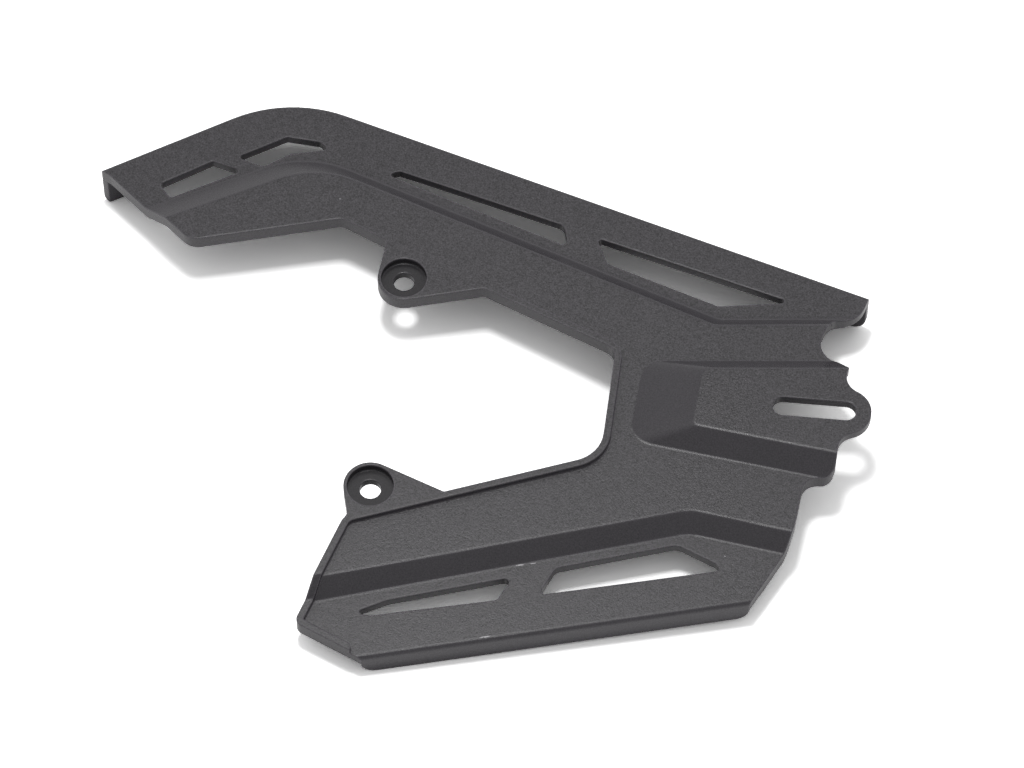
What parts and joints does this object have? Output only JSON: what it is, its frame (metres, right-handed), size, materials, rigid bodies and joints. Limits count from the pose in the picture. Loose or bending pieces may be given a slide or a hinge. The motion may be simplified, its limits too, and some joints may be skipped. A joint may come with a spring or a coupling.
{
  "type": "motorcycle chain guard",
  "caption": "One-piece moulded chain guard with two arms about a large opening, stiffening flanges, slim windows, counterbored screw ears and an adjusting slot.",
  "frame": {"origin": "axis of the upper ear's bore, at the ear's underside where it seats", "axes": "+X along the long straight flange towards the slot, +Z out of the outer face, away from the wheel"},
  "size_m": [0.2533, 0.176, 0.0267],
  "materials": {
    "nylon": "fine spark-eroded grain, charcoal, a little smoother on the rim and flanges"
  },
  "bodies": {
    "root": {"chain_guard": "nylon"}
  },
  "joints": []
}
